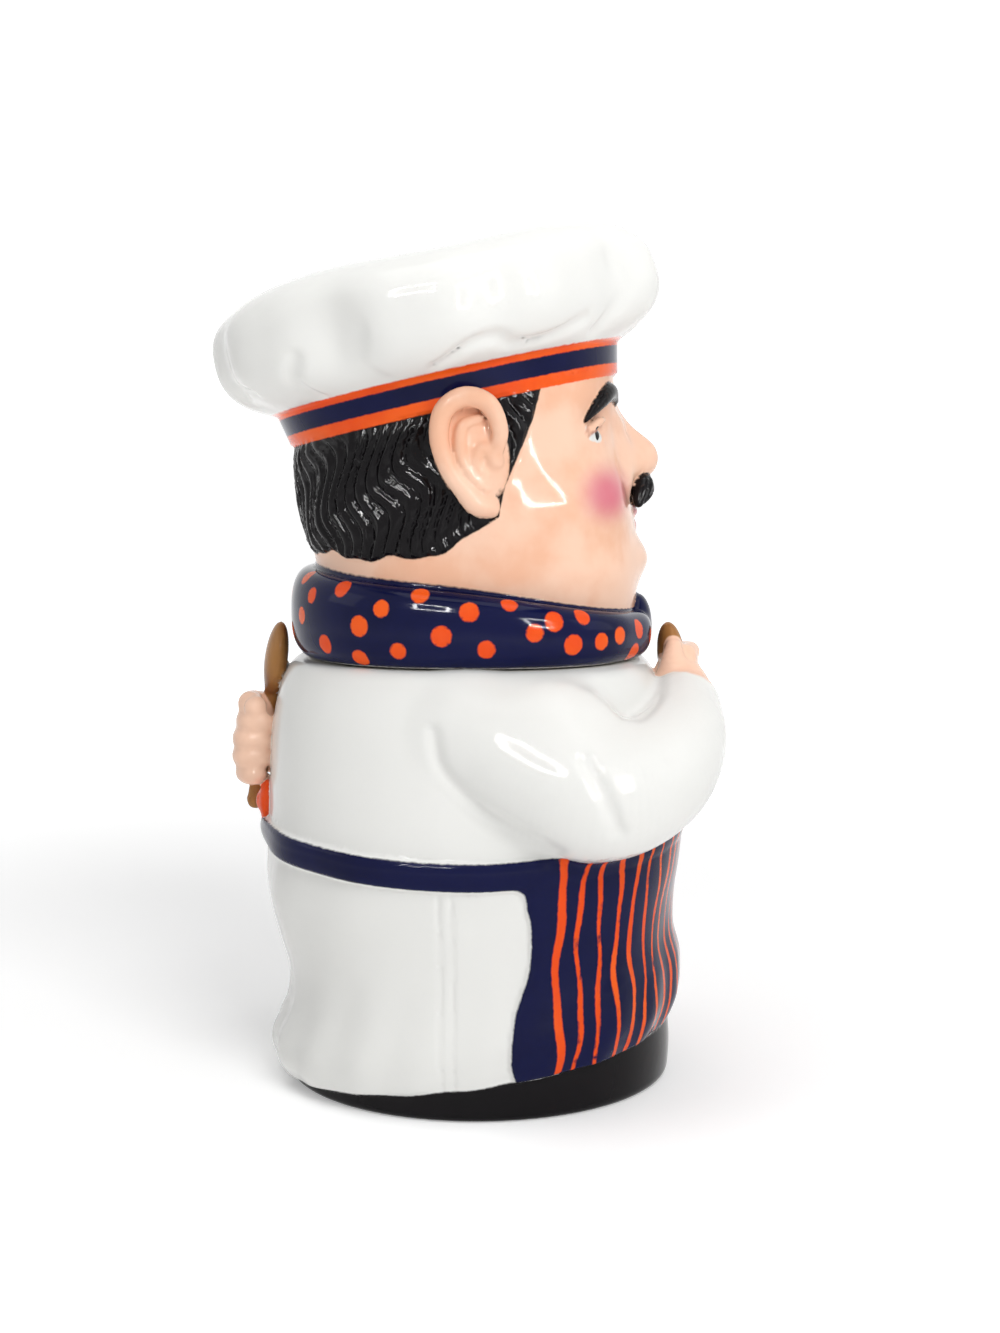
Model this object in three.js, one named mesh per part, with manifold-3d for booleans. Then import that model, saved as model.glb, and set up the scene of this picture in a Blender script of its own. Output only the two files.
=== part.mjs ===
// Figural cookie jar: a stout chef cast in earthenware. The hollow body is the jar, and the hollow head in its
// tall puffed hat lifts off as the lid. Millimetres, +Z up. The chef faces -Y, his right hand is on the -X side,
// and the origin is the middle of the flat underside.
import * as THREE from "three";
import { mergeVertices } from "three/addons/utils/BufferGeometryUtils.js";
import Module from "manifold-3d";

const wasm = await Module();
wasm.setup();

// Driving dimensions of the body.
const seatHeight = 146; // table to the rim that the head rests on
const bodyHalfWidth = 72;
const bodyHalfDepth = 72;
const baseRadius = 66.5; // the dark trousers, which are the foot of the jar
const bodyWall = 5;
const floorThickness = 7;
const shoulderThickness = 6;
const mouthRadius = 48;
const mouthBack = 2; // how far behind the origin the mouth's middle is
const hemHeight = 12; // the jacket's hem at the chef's side
const hemRise = 9.5; // how much higher it is in front, and lower behind
const beltWidth = 9.5;
const beltRelief = 2;
const apronRelief = 1.6;
const apronHalfTurn = THREE.MathUtils.degToRad(76);
const knotRadius = 6.8;
const spoonHandleRadius = 2.9;
const fingerRadius = 3.8;

// Driving dimensions of the head.
const headHalfWidth = 57;
const headHalfDepth = 56;
const headHeight = 83.5; // seat to the middle of the hat band's lower edge
const headWall = 5;
const seatGap = 0.3;
const flangeDepth = 10;
const flangeWall = 4;
const flangeClearance = 1.5;
const collarHalfWidth = 62.5;
const collarFront = 59.5;
const collarBack = 63.8;
const collarHeight = 23.5; // the rolled neckerchief at the chef's side
const collarRise = 7.5; // how much taller it is behind
const bandRadius = 57.1;
const bandFlare = 2.4;
const bandHeight = 11.5;
const bandBack = 8; // how far behind the origin the hat's middle is
const hatTilt = THREE.MathUtils.degToRad(12.6);
const hatRadius = 75;
const hatHeight = 42; // from the band's upper edge to the crown
const hatWall = 4.5;
const hairRelief = 1.4;
const lockRelief = 1.5;
const earHeight = 39;
const earWidth = 27;

const WELD = 1e-3;
const COARSEST = 0.03; // how far the finished surface may move when needless triangles go
const QUARTER = Math.PI / 2;
const UP = new THREE.Vector3(0, 1, 0); // the axis that a lathe turns about
const { clamp, lerp, smoothstep, degToRad } = THREE.MathUtils;
const at = (x, y, z) => new THREE.Vector3(x, y, z);

/** A closed three.js geometry as a solid that can be joined and cut. */
function solid(geometry) {
  const bare = new THREE.BufferGeometry().setAttribute("position", geometry.getAttribute("position"));
  bare.setIndex(geometry.index);
  const welded = mergeVertices(bare, WELD);
  const index = welded.index.array;
  const triangles = [];
  for (let i = 0; i < index.length; i += 3) {
    const [a, b, c] = index.subarray(i, i + 3);
    if (a !== b && b !== c && c !== a) triangles.push(a, b, c);
  }
  return new wasm.Manifold(
    new wasm.Mesh({
      numProp: 3,
      vertProperties: welded.getAttribute("position").array,
      triVerts: new Uint32Array(triangles),
    }),
  );
}

/** Several geometries joined into one solid. */
const join = (geometries) => wasm.Manifold.union(geometries.map(solid));

/** A finished solid as a named mesh, without the specks that two nearly touching surfaces leave when joined. */
function namedMesh(name, made, material) {
  const [whole] = made.simplify(COARSEST).decompose().sort((a, b) => b.volume() - a.volume());
  const { numProp, vertProperties, triVerts } = whole.getMesh();
  const geometry = new THREE.BufferGeometry();
  geometry.setAttribute("position", new THREE.BufferAttribute(new Float32Array(vertProperties), numProp));
  geometry.setIndex(new THREE.BufferAttribute(new Uint32Array(triVerts), 1));
  geometry.computeVertexNormals();
  const mesh = new THREE.Mesh(geometry, material);
  mesh.name = name;
  return mesh;
}

/** The point at an angle about Z: turn 0 is the chef's front and a quarter turn his right hand. */
const around = (turn, radius, z) => at(-radius * Math.sin(turn), -radius * Math.cos(turn), z);

/** Moves each vertex to where place(turn, radius, z) puts it. */
function warp(geometry, place) {
  const position = geometry.getAttribute("position");
  const vertex = new THREE.Vector3();
  for (let i = 0; i < position.count; i++) {
    vertex.fromBufferAttribute(position, i);
    const radius = Math.hypot(vertex.x, vertex.y);
    const turn = radius > WELD ? Math.atan2(-vertex.x, -vertex.y) : 0;
    const moved = place(turn, radius, vertex.z);
    position.setXYZ(i, moved.x, moved.y, moved.z);
  }
  return geometry;
}

/** A profile of [radius, height] points turned about Z. */
function turned(profile, sides) {
  const points = profile.map(([radius, height]) => new THREE.Vector2(radius, height));
  return new THREE.LatheGeometry(points, sides).rotateX(QUARTER);
}

/** The closed skin over a stack of rings from bottom to top: each ring gives its point at a turn. */
function skin(rings, turns) {
  const profile = [[0, 0], ...rings.map((_, level) => [1, level]), [0, rings.length - 1]];
  const middles = rings.map((ring) => {
    const sum = turns.reduce((total, turn) => total.add(ring(turn)), at(0, 0, 0));
    return sum.divideScalar(turns.length);
  });
  return warp(turned(profile, turns.length), (turn, radius, level) => {
    const column = Math.round(((turn + Math.PI) / (2 * Math.PI)) * turns.length) % turns.length;
    const row = Math.round(level);
    return radius > WELD ? rings[row](turns[column]) : middles[row];
  });
}

/** Turns that are evenly spaced all round, starting from the back. */
const evenTurns = (count) => Array.from({ length: count }, (_, i) => -Math.PI + (2 * Math.PI * i) / count);

/** Turns for both sides of the figure from those of one side, the back and the front left out. */
const bothSides = (turns) => [-Math.PI, ...turns.toReversed().map((turn) => -turn), 0, ...turns];

/** Evenly spaced values after the first, up to and with the last. */
const steps = (first, last, count) => Array.from({ length: count }, (_, i) => lerp(first, last, (i + 1) / count));

/** Values that run smoothly through rows of [share, ...values]. */
function along(rows, share) {
  const last = rows.length - 1;
  const found = rows.findIndex((row) => row[0] >= share);
  const i = clamp(found < 0 ? last : found, 1, last);
  const [low, high] = [rows[i - 1], rows[i]];
  const [before, after] = [rows[Math.max(i - 2, 0)], rows[Math.min(i + 1, last)]];
  const span = high[0] - low[0];
  const s = clamp((share - low[0]) / span, 0, 1);
  return low.slice(1).map((value, k) => {
    const slopeIn = ((high[k + 1] - before[k + 1]) / (high[0] - before[0])) * span;
    const slopeOut = ((after[k + 1] - value) / (after[0] - low[0])) * span;
    const rise = high[k + 1] - value;
    return value + s * (slopeIn + s * (3 * rise - 2 * slopeIn - slopeOut + s * (slopeIn + slopeOut - 2 * rise)));
  });
}

/** The radius of a squarish oval whose front and back differ in depth. */
function ovalRadius(turn, width, front, back) {
  const squareness = 2.25;
  const depth = Math.cos(turn) > 0 ? front : back;
  const sum = Math.abs(Math.sin(turn) / width) ** squareness + Math.abs(Math.cos(turn) / depth) ** squareness;
  return sum ** (-1 / squareness);
}

/** A soft bump that is 1 at its middle. */
const bump = (offset, spread) => Math.exp(-((offset / spread) ** 2));

/** An ellipsoid turned by angles about X, Y and Z. */
function ellipsoid(centre, radii, [turnX, turnY, turnZ] = [0, 0, 0], across = 8, up = 6) {
  return new THREE.SphereGeometry(1, across, up)
    .rotateX(QUARTER)
    .scale(radii.x, radii.y, radii.z)
    .rotateX(degToRad(turnX))
    .rotateY(degToRad(turnY))
    .rotateZ(degToRad(turnZ))
    .translate(centre.x, centre.y, centre.z);
}

/** A limb with round ends along a path of [point, radius] joints. */
function limb(path, sides = 6) {
  const points = path.map(([point]) => point);
  const last = points.length - 1;
  const bend = new THREE.Vector3().crossVectors(points[1].clone().sub(points[0]), points[last].clone().sub(points[0]));
  const upright = at(0.1, 0.2, 1);
  const reference = bend.length() > 1 ? bend : upright;
  const ring = (i, angle) => {
    const ahead = points[Math.min(i + 1, last)].clone().sub(points[Math.max(i - 1, 0)]).normalize();
    const across = new THREE.Vector3().crossVectors(reference, ahead).normalize();
    const upward = new THREE.Vector3().crossVectors(ahead, across);
    const radius = path[i][1];
    const middle = points[i].clone().addScaledVector(ahead, radius * Math.sin(angle));
    return (turn) => {
      const reach = radius * Math.cos(angle);
      const sideways = middle.clone().addScaledVector(across, -reach * Math.sin(turn));
      return sideways.addScaledVector(upward, -reach * Math.cos(turn));
    };
  };
  const rings = [
    ...[-QUARTER, -0.85].map((angle) => ring(0, angle)),
    ...points.map((_, i) => ring(i, 0)),
    ...[0.85, QUARTER].map((angle) => ring(last, angle)),
  ];
  return skin(rings, evenTurns(sides));
}

// The jacket from hem to shoulder: share of the way up, then half-width, front and back in shares of the body's own.
const jacketSections = [
  [0, 0.93, 0.885, 0.935],
  [0.04, 0.95, 0.92, 0.99],
  [0.09, 0.965, 0.943, 0.997],
  [0.17, 0.955, 0.942, 0.93],
  [0.25, 0.95, 0.91, 0.913],
  [0.34, 0.96, 0.915, 0.955],
  [0.45, 0.985, 0.945, 1.02],
  [0.58, 1.0, 0.965, 1.052],
  [0.72, 1.0, 0.96, 1.036],
  [0.84, 0.975, 0.92, 1.015],
  [0.93, 0.93, 0.865, 0.975],
  [1, 0.86, 0.8, 0.885],
];
const hemAt = (turn) => hemHeight + hemRise * Math.cos(turn);
const beltMiddle = (turn) => {
  const ahead = Math.cos(turn);
  return seatHeight * (0.55 + (ahead > 0 ? 0.065 * (1 - (1 - ahead) ** 2) : 0.035 * ahead ** 2));
};
const beltFoot = (turn) => beltMiddle(turn) - beltWidth / 2;
const beltTop = (turn) => beltMiddle(turn) + beltWidth / 2;
const bodyPoint = (x, y, z) => at(x * bodyHalfWidth, y * bodyHalfDepth, z * seatHeight);

/** Soft folds in the jacket and apron, in millimetres out of the surface. */
function jacketFolds(turn, share) {
  const side = Math.abs(turn);
  const tail = bump(Math.PI - side, 0.5) * bump(share - 0.36, 0.09);
  const drape = Math.sin(8 * turn + 4 * share) * bump(side, 1.1) * bump(share - 0.18, 0.24);
  return tail + 0.9 * drape;
}

/** The jacket's radius at a turn and height. */
function jacketRadius(turn, z) {
  const share = clamp((z - hemAt(turn)) / (seatHeight - hemAt(turn)), 0, 1);
  const [width, front, back] = along(jacketSections, share);
  const oval = ovalRadius(turn, width * bodyHalfWidth, front * bodyHalfDepth, back * bodyHalfDepth);
  return oval + jacketFolds(turn, share);
}

/** The trousers' radius at a height, below the jacket's hem. */
const trouserRadius = (z) => baseRadius + 0.7 * Math.sin(Math.PI * clamp(z / (hemHeight + hemRise), 0, 1));

/** The apron's side edge wanders as it falls. */
const sway = (turn, share) => turn + 0.05 * Math.sign(turn) * Math.sin(9 * share + 1.2) * bump(Math.abs(turn) - apronHalfTurn, 0.3);

/** A ring of the jacket part of the way from the hem to the belt; the apron stands out from it in front. */
const skirtRing = (share, out = 0) => (column) => {
  const turn = sway(column, share);
  const z = lerp(hemAt(turn), beltFoot(turn), share);
  const apron = Math.abs(column) < apronHalfTurn ? apronRelief : 0;
  return around(turn, jacketRadius(turn, z) + Math.max(apron, out), z);
};

/** A ring of the jacket part of the way from the belt to the shoulder. */
const chestRing = (share) => (turn) => {
  const z = lerp(beltTop(turn), seatHeight, share);
  return around(turn, jacketRadius(turn, z), z);
};

/** A ring on the belt's face, level with the belt's lower edge at 0 and its upper edge at 1. */
const beltRing = (share) => (turn) => {
  const z = lerp(beltFoot(turn), beltTop(turn), share);
  return around(turn, jacketRadius(turn, z) + beltRelief, z);
};

/** The outside of the body: trousers, jacket, apron and belt up to the flat shoulder. */
function bodyOutside() {
  const footRound = 1.8;
  const trouserRing = (height, inset) => (turn) => around(turn, trouserRadius(height(turn)) - inset, height(turn));
  const edge = 0.009; // half the turn that the apron's side edge takes
  const turns = bothSides([
    ...steps(0, apronHalfTurn - edge, 8),
    ...steps(apronHalfTurn + edge, Math.PI, 10).slice(0, -1),
  ]);
  turns.push(apronHalfTurn + edge, -apronHalfTurn - edge);
  turns.sort((a, b) => a - b);
  const rings = [
    trouserRing(() => 0, footRound),
    trouserRing(() => footRound, 0),
    trouserRing((turn) => lerp(footRound, hemAt(turn), 0.6), 0),
    trouserRing((turn) => hemAt(turn) - 0.4, 0),
    ...[0, 0.07, 0.16, 0.3, 0.45, 0.6, 0.8, 1].map((share) => skirtRing(share)),
    ...[0.08, 0.92].map(beltRing),
    ...[0, 0.2, 0.45, 0.68, 0.86, 0.96, 1].map(chestRing),
  ];
  return skin(rings, turns);
}

/** The hollow inside the body, out through the mouth. */
function bodyHollow() {
  const ceiling = seatHeight - shoulderThickness;
  const ring = (share, rounding) => (turn) => {
    const z = lerp(floorThickness, ceiling, share);
    const outer = z < hemAt(turn) + bodyWall ? Math.min(trouserRadius(z), jacketRadius(turn, z)) : jacketRadius(turn, z);
    return around(turn, rounding * (outer - bodyWall), z);
  };
  const neck = (z) => (turn) => around(turn, mouthRadius, z).add(at(0, mouthBack, 0));
  const levels = [0, 0.04, 0.14, 0.24, 0.36, 0.55, 0.75, 0.92, 1];
  const rings = levels.map((level, i) => ring(level, i === 0 ? 0.93 : 1));
  return skin([...rings, neck(ceiling), neck(seatHeight + 1)], evenTurns(28));
}

/** The knot that ties the belt behind, an oval disc with a rolled middle. */
function backKnot() {
  const z = beltMiddle(Math.PI) + beltWidth;
  const y = jacketRadius(Math.PI, z) + 0.6;
  const disc = ellipsoid(at(-3, y, z), at(knotRadius, 3.4, knotRadius));
  const roll = ellipsoid(at(-3, y + 2.6, z), at(0.42 * knotRadius, 1.8, 0.42 * knotRadius));
  return [disc, roll];
}

/** A fist round an upright rod: four fingers, one above another, that wrap round towards -X; the wrist is at +X. */
function fist() {
  const pitch = 2 * fingerRadius;
  const ring = (z, swell) => (turn) => {
    const wrapped = clamp(0.35 + 1.5 * Math.cos(turn - degToRad(100)), 0, 1); // 1 on the fingers, 0 on the palm's heel
    const radius = ovalRadius(turn, 9.6, 6.6, 7.2) * (1 - (1 - swell) * wrapped);
    return around(turn, radius, z).add(at(0, 2, 0));
  };
  const rings = [];
  for (let finger = 0; finger < 4; finger++) {
    const foot = (finger - 2) * pitch;
    const reach = 1 - 0.06 * Math.abs(finger - 1.8);
    rings.push(ring(foot, finger === 0 ? 0.6 : 0.82));
    rings.push(ring(foot + 0.24 * pitch, reach), ring(foot + 0.76 * pitch, reach));
  }
  rings.push(ring(2 * pitch, 0.62));
  const thumb = limb([[at(8, 3.5, 1.6 * pitch), 1.15 * fingerRadius], [at(-3, 4.5, 2.1 * pitch), 0.95 * fingerRadius]]);
  return [skin(rings, evenTurns(12)), thumb];
}

/** A wooden spoon from the end of its handle to the tip of its bowl, which is flat towards the chef. */
function spoon(end, tip) {
  const bowlHalfLength = 13.5;
  const direction = tip.clone().sub(end).normalize();
  const bowlMiddle = tip.clone().addScaledVector(direction, -bowlHalfLength);
  const handle = limb([[end, 1.1 * spoonHandleRadius], [bowlMiddle, 0.8 * spoonHandleRadius]]);
  const bowl = new THREE.SphereGeometry(1, 8, 6)
    .scale(8.5, bowlHalfLength, 2.8)
    .applyQuaternion(new THREE.Quaternion().setFromUnitVectors(UP, direction))
    .translate(bowlMiddle.x, bowlMiddle.y, bowlMiddle.z);
  return [handle, bowl];
}

// Each arm from inside the shoulder to the cuff: [joint, radius].
const rightArm = [
  [bodyPoint(-0.74, 0.04, 0.86), 20],
  [bodyPoint(-0.87, -0.25, 0.785), 21.5],
  [bodyPoint(-0.92, -0.53, 0.74), 22],
  [bodyPoint(-0.8, -0.77, 0.765), 19.5],
  [bodyPoint(-0.55, -0.92, 0.825), 16],
  [bodyPoint(-0.3, -0.96, 0.88), 13.5],
];
const leftArm = [
  [bodyPoint(0.74, -0.04, 0.86), 20],
  [bodyPoint(0.89, 0.18, 0.785), 21],
  [bodyPoint(0.95, 0.42, 0.735), 21],
  [bodyPoint(0.84, 0.7, 0.735), 18],
  [bodyPoint(0.6, 0.88, 0.765), 15],
  [bodyPoint(0.36, 0.97, 0.793), 12.5],
];

/** The sleeve of an arm; inset makes it thinner all round. */
function sleeve(arm, sides = 12, inset = 0) {
  return limb(arm.map(([joint, radius]) => [joint, radius - inset]), sides);
}

/** The right hand at the chest with its spoon. */
function rightHand() {
  const centre = bodyPoint(-0.07, -0.9, 0.945);
  const held = fist().map((piece) => piece.scale(1, 1.2, 0.85).rotateZ(Math.PI).translate(centre.x, centre.y, centre.z));
  const heel = centre.clone().add(at(-6, -4, 0));
  const hand = limb([[rightArm.at(-1)[0], 11], [heel, 10]], 8);
  const tool = spoon(centre.clone().add(at(1, -6, -30)), centre.clone().add(at(3, 0.2, 19)));
  return [...held, hand, ...tool];
}

/** The left hand behind the back with its spoon. */
function leftHand() {
  const centre = bodyPoint(0.02, 1.055, 0.795);
  const held = fist().map((piece) => piece.rotateX(degToRad(11)).translate(centre.x, centre.y, centre.z));
  const hand = limb([[leftArm.at(-1)[0], 10.5], [centre.clone().add(at(7, 2.5, 0)), 9]], 8);
  const tool = spoon(centre.clone().add(at(-1, 4.2, -21)), centre.clone().add(at(1.5, -7.7, 40)));
  return [...held, hand, ...tool];
}

function jarBody() {
  const outside = join([bodyOutside(), ...backKnot(), sleeve(rightArm), sleeve(leftArm), ...rightHand(), ...leftHand()]);
  const upperArms = [rightArm, leftArm].map((arm) => sleeve(arm.slice(0, 4), 8, bodyWall));
  return outside.subtract(solid(bodyHollow())).subtract(join(upperArms));
}

const lidSeat = seatHeight + seatGap;
const bandMiddle = seatHeight + headHeight;
const headPoint = (x, y, z) => at(x * headHalfWidth, y * headHalfDepth, seatHeight + z * headHeight);

// The head from neck to hat band: share of the way up, then half-width, front and back in shares of the head's own,
// measured from a middle that moves back as it rises, to stand under the hat's.
const headSections = [
  [0, 0.9, 0.93, 0.91],
  [0.2, 0.93, 0.995, 0.92],
  [0.35, 0.98, 1.01, 0.928],
  [0.5, 1.0, 1.003, 0.935],
  [0.65, 0.995, 0.985, 0.965],
  [0.8, 0.985, 0.965, 0.975],
  [1, 0.975, 0.968, 0.968],
];

/** The point of the head at a turn and a share of the way from the seat to the hat band, out from its surface. */
function headAt(turn, share, out = 0) {
  const [width, front, back] = along(headSections, share);
  const radius = ovalRadius(turn, width * headHalfWidth, front * headHalfDepth, back * headHalfDepth);
  const top = bandMiddle + bandRadius * Math.sin(hatTilt) * Math.cos(turn);
  return around(turn, radius + out, lerp(lidSeat, top, share)).add(at(0, bandBack * share, 0));
}

/** Moves a point of the hat, drawn upright about its own middle, to its place at the band's tilt. */
const tilted = (point) => point.applyAxisAngle(at(1, 0, 0), -hatTilt).add(at(0, bandBack, bandMiddle));

/** The soft forms of the face, in millimetres out of the head: cheeks, eye sockets, chin, jowls and mouth. */
function faceOut(turn, share) {
  const side = Math.abs(turn);
  const cheek = 4.5 * bump(side - 0.7, 0.32) * bump(share - 0.59, 0.13);
  const socket = -1.5 * bump(side - 0.42, 0.2) * bump(share - 0.8, 0.08);
  const chin = 4.6 * bump(side, 0.27) * bump(share - 0.35, 0.08);
  const jowl = 2 * bump(side - 0.62, 0.35) * bump(share - 0.33, 0.1);
  const mouth = 1.2 * bump(side, 0.3) * bump(share - 0.51, 0.06);
  return cheek + socket + chin + jowl + mouth;
}

/** Share of the way up at which the hair ends: low on the nape, higher in front of and over the ears. */
const hairLine = (turn) => 0.43 + 0.17 * (1 - smoothstep(Math.abs(turn), 1.3, 2));

/** Wavy locks that run down the hair and swing from side to side, between -1 and 1. */
const locks = (turn, share) => Math.sin(17 * turn + 1.2 * Math.sin(11 * share)) * (0.75 + 0.25 * Math.sin(15 * share + 3 * turn));

/** How far the hair stands out at a turn, and a share of the way from its lower edge to the hat band. */
function hairOut(turn, share) {
  const behind = smoothstep(Math.abs(turn), 1.36, 1.5);
  return behind * (hairRelief * (1 - 0.6 * share ** 4) + lockRelief * locks(turn, share) * (1 - share ** 3));
}

// The rolled neckerchief in section: how far out, and share of its height.
const collarSection = [[-3, 0], [-0.4, 0.13], [0.5, 0.4], [-0.6, 0.74], [-4.5, 1]];
const collarTopAt = (turn) => collarHeight - collarRise * Math.cos(turn) - 0.8 * Math.sin(3 * turn) * Math.sin(turn);

// The puffed crown in shares of the hat's radius and of its height above the band.
const crownSection = [
  [0.79, 0], [0.905, 0.13], [0.98, 0.28], [1, 0.47], [0.98, 0.64], [0.92, 0.8], [0.8, 0.93], [0.55, 0.985],
];

/** A ring of the crown, which billows in soft lobes. */
const crownRing = (share, height, inset = 0) => (turn) => {
  const lobes = 0.028 * Math.sin(5 * turn + 0.9) + 0.018 * Math.sin(9 * turn - 1) * (1 - 0.6 * height);
  const radius = share * (hatRadius - inset) * (1 + lobes * Math.sin(Math.PI * height ** 0.7));
  const sag = 1.2 * Math.sin(3 * turn + 0.6) * smoothstep(height, 0.5, 1);
  return tilted(around(turn, radius, bandHeight + height * (hatHeight - inset) + sag));
};

/** The outside of the lid: flange, neckerchief, head, hair, hat band and crown. */
function headOutside() {
  const turns = bothSides([...steps(0, 1.38, 8), ...steps(1.38, Math.PI, 15).slice(0, -1)]);
  const flangeRadius = mouthRadius - flangeClearance;
  const lead = 1.5;
  const flangeRing = (inset, drop) => (turn) => around(turn, flangeRadius - inset, lidSeat - drop).add(at(0, mouthBack, 0));
  const collarRing = ([out, share]) => (turn) =>
    around(turn, ovalRadius(turn, collarHalfWidth, collarFront, collarBack) + out, lidSeat + share * collarTopAt(turn));
  const headRing = (share) => (turn) => {
    const foot = collarTopAt(turn) / (headHeight + bandRadius * Math.sin(hatTilt) * Math.cos(turn)) + 0.01;
    const level = lerp(foot, hairLine(turn) - 0.012, share);
    return headAt(turn, level, faceOut(turn, level));
  };
  const hairRing = (share) => (turn) => {
    const level = lerp(hairLine(turn), 0.99, share);
    return headAt(turn, level, hairOut(turn, share) + faceOut(turn, level));
  };
  const bandRing = (radius, height) => (turn) => tilted(around(turn, radius, height));
  const lip = 0.8;
  const bandTop = bandRadius + bandFlare;
  const rings = [
    flangeRing(lead, flangeDepth),
    flangeRing(0, flangeDepth - lead),
    flangeRing(0, 0),
    ...collarSection.map(collarRing),
    ...[0, 0.2, 0.42, 0.64, 0.84, 1].map(headRing),
    ...[0, 0.15, 0.35, 0.55, 0.78, 1].map(hairRing),
    bandRing(bandRadius - lip, 0),
    bandRing(bandRadius, lip),
    bandRing(bandTop, bandHeight - lip),
    bandRing(bandTop - lip, bandHeight),
    ...crownSection.map(([share, height]) => crownRing(share, height)),
  ];
  return skin(rings, turns);
}

/** The hollow inside the head, from its open foot up into the hat. */
function headHollow() {
  const flangeBore = mouthRadius - flangeClearance - flangeWall;
  const boreRing = (z) => (turn) => around(turn, flangeBore, z).add(at(0, mouthBack, 0));
  const insideRing = (share) => (turn) => headAt(turn, share, -headWall);
  const throatRing = (height) => (turn) => tilted(around(turn, bandRadius - headWall, height));
  const crownRings = crownSection.slice(1).map(([share, height]) => crownRing(share, height, hatWall));
  const rings = [
    boreRing(lidSeat - flangeDepth - 1),
    boreRing(lidSeat + 5),
    ...[0.12, 0.3, 0.5, 0.75, 0.97].map(insideRing),
    throatRing(2),
    throatRing(bandHeight),
    ...crownRings,
  ];
  return skin(rings, evenTurns(24));
}

/** An ear with a raised rim round its bowl; side is -1 for the chef's right and 1 for his left. */
function ear(side) {
  const middle = headPoint(side * 0.985, 0.016, 0.838);
  const [halfHeight, halfWidth] = [earHeight / 2, earWidth / 2];
  const ring = (share, out) => (turn) => {
    const narrowing = 1 - 0.22 * Math.cos(turn / 2) ** 4; // towards the lobe
    return at(-halfWidth * share * narrowing * Math.sin(turn), -halfHeight * share * Math.cos(turn), out);
  };
  const rings = [ring(0.7, -5), ring(0.98, 3), ring(1, 5.4), ring(0.9, 6.8), ring(0.72, 6), ring(0.5, 3.6)];
  return skin(rings, evenTurns(14))
    .rotateX(QUARTER)
    .rotateZ(side * QUARTER)
    .rotateX(degToRad(-9))
    .rotateZ(degToRad(side * 10))
    .translate(middle.x, middle.y, middle.z);
}

/** What stands out from the face: nose, lips, brows and a short thick moustache. */
function face() {
  const middle = [
    ellipsoid(headPoint(0, -0.866, 0.844), at(5.2, 7, 10.5), [-25, 0, 0]),
    ellipsoid(headPoint(0, -0.955, 0.784), at(7.2, 7.6, 5.8)),
    ellipsoid(headPoint(0, -0.925, 0.599), at(7.6, 2.8, 2.3), [0, 0, 0], 8, 4),
    ellipsoid(headPoint(0, -0.916, 0.539), at(6.8, 3, 2.6), [0, 0, 0], 8, 4),
  ];
  const pairs = [-1, 1].flatMap((side) => {
    const browMiddle = headPoint(side * 0.456, -0.735, 1.102);
    const browInner = headPoint(side * 0.228, -0.82, 1.042);
    const browOuter = headPoint(side * 0.614, -0.625, 0.97);
    const moustacheRoot = headPoint(side * 0.053, -0.991, 0.7);
    const moustacheMiddle = headPoint(side * 0.2, -0.982, 0.659);
    const moustacheTip = headPoint(side * 0.307, -0.884, 0.599);
    return [
      ellipsoid(headPoint(side * 0.123, -0.911, 0.748), at(4.4, 5, 4), [0, 0, 0], 6, 4),
      limb([[browInner, 2.2], [browMiddle, 2.9], [browOuter, 1.1]]),
      limb([[moustacheRoot, 3.5], [moustacheMiddle, 4.9], [moustacheTip, 1.8]]),
    ];
  });
  return [...middle, ...pairs];
}

/** The knot that ties the neckerchief in front. */
const collarKnot = () => ellipsoid(at(0, 4.5 - collarFront, lidSeat + 0.46 * collarHeight), at(9.5, 5.2, 10));

function headLid() {
  const outside = join([headOutside(), collarKnot(), ear(-1), ear(1), ...face()]);
  return outside.subtract(solid(headHollow()));
}

const whiteGlaze = new THREE.MeshStandardMaterial({ color: 0xf4f4f0, roughness: 0.08, metalness: 0 });
const fleshGlaze = new THREE.MeshStandardMaterial({ color: 0xf3c6a8, roughness: 0.08, metalness: 0 });

const cookieJar = new THREE.Group();
cookieJar.name = "chef cookie jar";
cookieJar.add(namedMesh("jar_body", jarBody(), whiteGlaze));
cookieJar.add(namedMesh("head_lid", headLid(), fleshGlaze));

export default cookieJar;
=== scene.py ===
"""The looks of a glazed cookie jar in the shape of a stout chef.

The jar's body and the head, which is its lid, are each one closed surface: a field of distances is made from
the forms that were carved into the model, skinned, and painted by distances kept at its vertices. Lengths are
millimetres until the meshes are built."""

from math import cos, pi, radians, sin

import bmesh
import bpy
import numpy as np
from mathutils import Euler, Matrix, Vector


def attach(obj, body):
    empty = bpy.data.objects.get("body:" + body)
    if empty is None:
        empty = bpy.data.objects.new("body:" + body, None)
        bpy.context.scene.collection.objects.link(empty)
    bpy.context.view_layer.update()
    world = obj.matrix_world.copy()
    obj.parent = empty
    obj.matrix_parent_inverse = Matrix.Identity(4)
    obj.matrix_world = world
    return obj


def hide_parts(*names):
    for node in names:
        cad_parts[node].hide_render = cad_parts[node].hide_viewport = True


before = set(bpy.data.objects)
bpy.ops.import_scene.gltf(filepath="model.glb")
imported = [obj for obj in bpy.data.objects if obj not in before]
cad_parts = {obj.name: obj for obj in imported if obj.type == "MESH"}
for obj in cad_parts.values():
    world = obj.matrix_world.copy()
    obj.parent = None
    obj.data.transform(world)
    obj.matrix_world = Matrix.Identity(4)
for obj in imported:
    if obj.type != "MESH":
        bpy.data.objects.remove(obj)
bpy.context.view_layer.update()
MM = 0.001
# Farther off than anything in the scene, in millimetres.
FAR = 1e9
# The grids' cells, and the share of faces kept on the inner skins.
BODY_STEP, HEAD_STEP, INNER_SHARE = 1.3, 1.2, 0.6

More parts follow.
